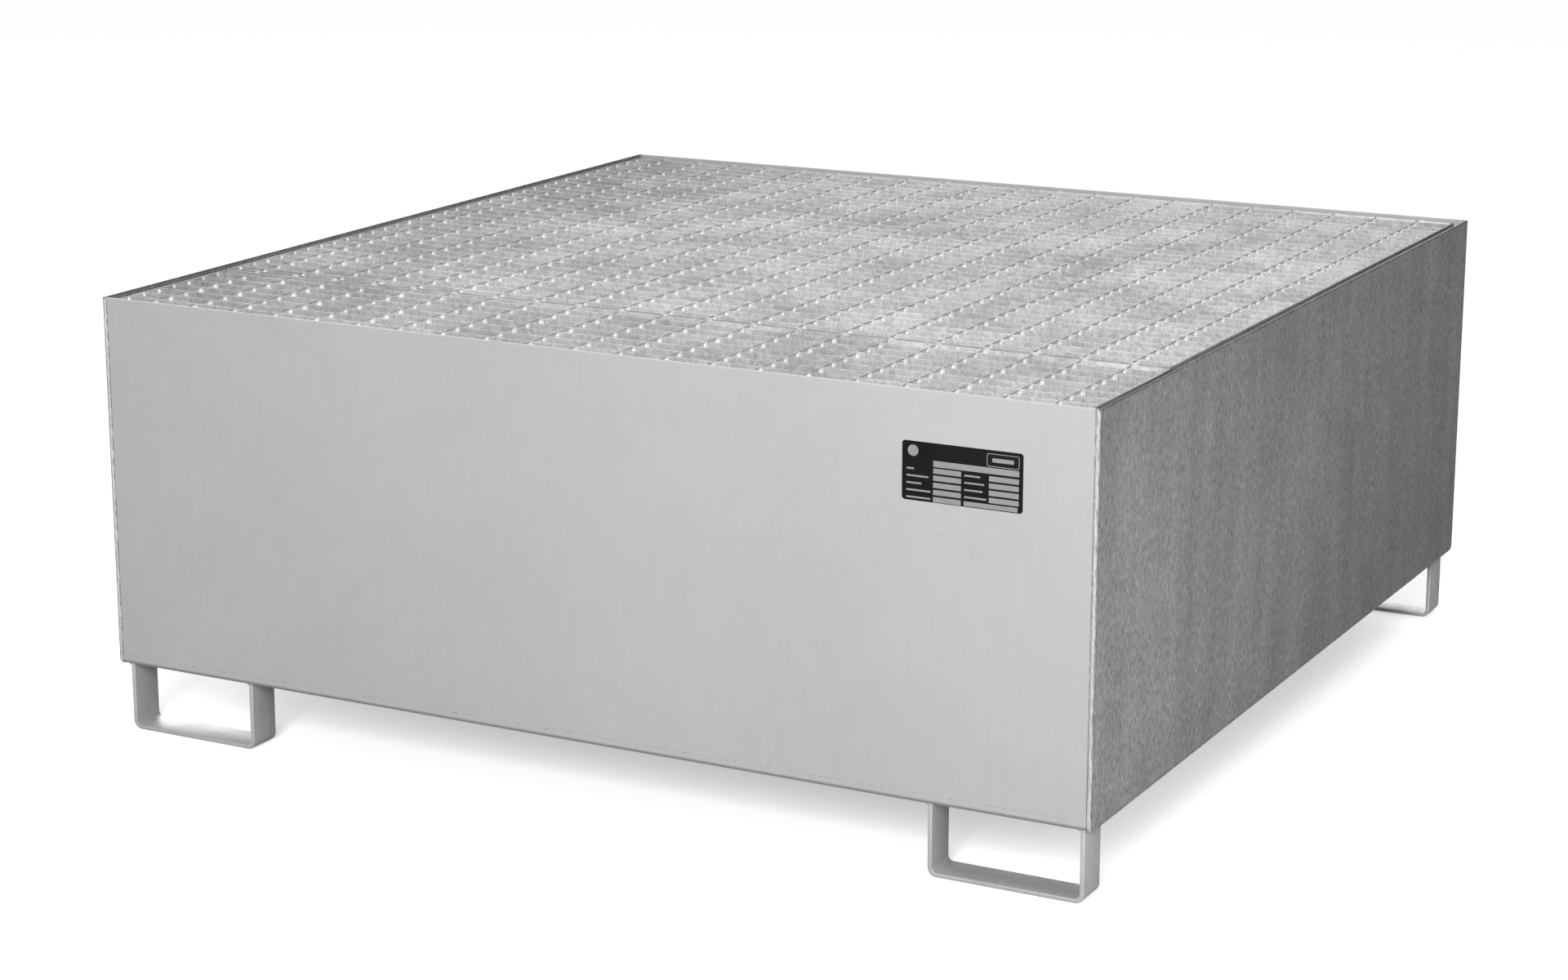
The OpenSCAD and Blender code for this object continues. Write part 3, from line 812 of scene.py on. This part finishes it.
def makeFootBeads():
    strap = drips["footStrap"]
    points, edges = [], []
    for node in ("foot_front_left", "foot_front_right", "foot_rear_left", "foot_rear_right"):
        low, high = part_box(node)
        for left, right in ((low.x, low.x + strap), (high.x - strap, high.x)):
            first = len(points)
            points += [(left, low.y, high.z), (right, low.y, high.z), (right, high.y, high.z), (left, high.y, high.z)]
            edges += [(first + at, first + (at + 1) % 4) for at in range(4)]
    mesh = bpy.data.meshes.new("foot_bead_path")
    mesh.from_pydata(points, edges, [])
    piece = grow(seamTree, "foot_beads", {
        "Width": drips["footBead"], "Height": drips["footBead"], "Ring Spacing": drips["beadSpacing"],
        "Ripple Length": seam["ripple"], "Ripple Depth": seam["rippleDepth"], "Wander": drips["beadWander"],
        "Across": (0, 0, 1), "Seed": 2.5, "Material": materials["weldZinc"]}, mesh)
    finishPiece(piece, "pan")


makeEdgeDrips("left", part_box("tray")[0].x + drips["inset"], 5)
makeEdgeDrips("right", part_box("tray")[1].x - drips["inset"], 12)
makeFootBeads()
print("drips and foot beads made")


# --- data plate: blank fields and plain bars, measured from its top left corner ---
dataPlate = {
    "edge": 0.12 * mm, "fieldRise": 0.10 * mm, "paintRise": 0.05 * mm, "sunk": 0.05 * mm,
    "fieldCorner": 0.5, "barCorner": 0.6, "frameCorners": (2.5, 1.8, 1.0), "discSteps": 8,
    "wideFields": [(41.3, 21.4, 153.0, 28.9), (81.7, 66.3, 151.5, 72.0)],
    "leftColumn": (41.3, 77.9, 30.7, 5), "rightColumn": (114.2, 152.8, 31.7, 4),  # left, right, top, rows
    "rowPitch": 8.8, "rowHeight": 6.4,
    "leftBars": (6.0, (10, 29, 20, 32, 32)), "middleBars": (82.0, (21, 26, 24, 29)), "barHeight": 2.2,
    "barDrop": 2,  # from the top of a row to the top of its bar
    "frame": (111.0, 4.0, 153.0, 20.0), "frameLine": 0.8, "frameBar": (118.0, 9.5, 146.0, 14.5),
    "disc": (14.5, 11.5, 7.0),
}


def plateOutline(left, top, right, bottom, radius, steps=3):
    # a rounded rectangle on the plate, as points on the front wall
    low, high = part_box("data_plate")
    centres = ((right - radius, top + radius, 0), (left + radius, top + radius, 90),
               (left + radius, bottom - radius, 180), (right - radius, bottom - radius, 270))
    points = []
    for x, down, start in centres:
        for step in range(steps + 1):
            angle = math.radians(start + 90 * step / steps)
            points.append((low.x + (x + radius * math.cos(angle)) * mm,
                           high.z - (down - radius * math.sin(angle)) * mm))
    return points


def raisePatch(shape, outline, rise, hole=None):
    # a thin closed solid standing on the plate, or a ring where there is a hole
    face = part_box("data_plate")[0].y
    rings = []
    for points in (outline, hole):
        if points:
            rings.append([[shape.verts.new((x, y, z)) for x, z in points]
                          for y in (face + dataPlate["sunk"], face - rise)])
    for base, top in rings:
        for at in range(len(base)):
            then = (at + 1) % len(base)
            shape.faces.new((base[at], base[then], top[then], top[at]))
    if hole:
        for outer, inner in zip(*rings):
            for at in range(len(outer)):
                then = (at + 1) % len(outer)
                shape.faces.new((outer[at], outer[then], inner[then], inner[at]))
    else:
        shape.faces.new(rings[0][0])
        shape.faces.new(rings[0][1])


def closePatches(shape, name, look):
    bmesh.ops.recalc_face_normals(shape, faces=shape.faces)
    mesh = bpy.data.meshes.new(name)
    shape.to_mesh(mesh)
    shape.free()
    mesh.materials.append(materials[look])
    finishPiece(linkPiece(name, mesh), "pan")


def makeDataPlate():
    softenNode("data_plate", "data_plate_finish", "pan", materials["plateFilm"], dataPlate["edge"])
    fields = bmesh.new()
    patches = list(dataPlate["wideFields"])
    for left, right, top, rows in (dataPlate["leftColumn"], dataPlate["rightColumn"]):
        for row in range(rows):
            down = top + row * dataPlate["rowPitch"]
            patches.append((left, down, right, down + dataPlate["rowHeight"]))
    for patch in patches:
        raisePatch(fields, plateOutline(*patch, dataPlate["fieldCorner"]), dataPlate["fieldRise"])
    closePatches(fields, "data_plate_fields", "satinField")

    paint = bmesh.new()
    for bars, column in (("leftBars", "leftColumn"), ("middleBars", "rightColumn")):
        left, lengths = dataPlate[bars]
        top = dataPlate[column][2] + dataPlate["barDrop"]
        for row, length in enumerate(lengths):
            down = top + row * dataPlate["rowPitch"]
            outline = plateOutline(left, down, left + length, down + dataPlate["barHeight"], dataPlate["barCorner"])
            raisePatch(paint, outline, dataPlate["paintRise"])
    closePatches(paint, "data_plate_bars", "captionPaint")

    marks = bmesh.new()
    left, top, right, bottom = dataPlate["frame"]
    line = dataPlate["frameLine"]
    outer, inner, bar = dataPlate["frameCorners"]
    raisePatch(marks, plateOutline(left, top, right, bottom, outer), dataPlate["paintRise"],
               plateOutline(left + line, top + line, right - line, bottom - line, inner))
    raisePatch(marks, plateOutline(*dataPlate["frameBar"], bar), dataPlate["paintRise"])
    x, down, radius = dataPlate["disc"]
    disc = plateOutline(x - radius, down - radius, x + radius, down + radius, radius, dataPlate["discSteps"])
    raisePatch(marks, disc, dataPlate["paintRise"])
    closePatches(marks, "data_plate_marks", "satinField")


makeDataPlate()
print("data plate made")


# --- studio ---
studio = {
    "floorHalf": 15.0,
    "lamps": {"key": {"place": (2.3, -7.1, 3.8), "size": 2.6, "power": 540},
              "side": {"place": (1.36, -0.66, 0.42), "size": 0.5, "power": 1.6}},
    "aim": (0, 0, 0.35),
    "back": {"from": (-0.55, 0.82, 0.17), "strength": 2.7, "softness": 50},  # a direction, and degrees
    "air": 0.36, "backdrop": 1.1,
    "floorShade": 0.92, "floorBounce": 0.5, "floorGlow": 0.46,
}


def makeFloor():
    half = studio["floorHalf"]
    mesh = bpy.data.meshes.new("floor")
    mesh.from_pydata([(-half, -half, 0), (half, -half, 0), (half, half, 0), (-half, half, 0)], [], [(0, 1, 2, 3)])
    floor = linkPiece("floor", mesh)
    material = bpy.data.materials.new("floorPaint")
    material.use_nodes = True
    tree = material.node_tree
    shader = tree.nodes["Principled BSDF"]
    shader.inputs["Roughness"].default_value = 0.9
    shader.inputs["Specular IOR Level"].default_value = 0.0
    rays = tree.nodes.new("ShaderNodeLightPath")
    tone = tree.nodes.new("ShaderNodeMix")  # bright to look at, while less light bounces off it
    tone.data_type = "RGBA"
    tone.inputs[6].default_value = grey(studio["floorBounce"])
    tone.inputs[7].default_value = grey(studio["floorShade"])
    tree.links.new(rays.outputs["Is Camera Ray"], tone.inputs["Factor"])
    tree.links.new(tone.outputs[2], shader.inputs["Base Color"])
    shader.inputs["Emission Color"].default_value = (1, 1, 1, 1)
    glow = addMath(tree, "MULTIPLY", rays.outputs["Is Camera Ray"], studio["floorGlow"])
    tree.links.new(glow, shader.inputs["Emission Strength"])
    mesh.materials.append(material)


def makeLights():
    aim = Vector(studio["aim"])
    for name, look in studio["lamps"].items():
        data = bpy.data.lights.new(name, "AREA")
        data.size = look["size"]
        data.energy = look["power"]
        lamp = bpy.data.objects.new(name, data)
        lamp.location = look["place"]
        lamp.rotation_euler = (aim - lamp.location).to_track_quat("-Z", "Y").to_euler()
        lamp.visible_camera = False
        scene.collection.objects.link(lamp)
    back = studio["back"]
    data = bpy.data.lights.new("back", "SUN")
    data.energy = back["strength"]
    data.angle = math.radians(back["softness"])
    lamp = bpy.data.objects.new("back", data)
    lamp.rotation_euler = (-Vector(back["from"])).to_track_quat("-Z", "Y").to_euler()
    scene.collection.objects.link(lamp)

    world = bpy.data.worlds.new("air")
    world.use_nodes = True
    tree = world.node_tree
    background = tree.nodes["Background"]
    background.inputs["Color"].default_value = (1, 1, 1, 1)
    rays = tree.nodes.new("ShaderNodeLightPath")
    extra = addMath(tree, "MULTIPLY", rays.outputs["Is Camera Ray"], studio["backdrop"] - studio["air"])
    tree.links.new(addMath(tree, "ADD", extra, studio["air"]), background.inputs["Strength"])
    scene.world = world
    scene.view_settings.view_transform = "Standard"


makeFloor()
makeLights()
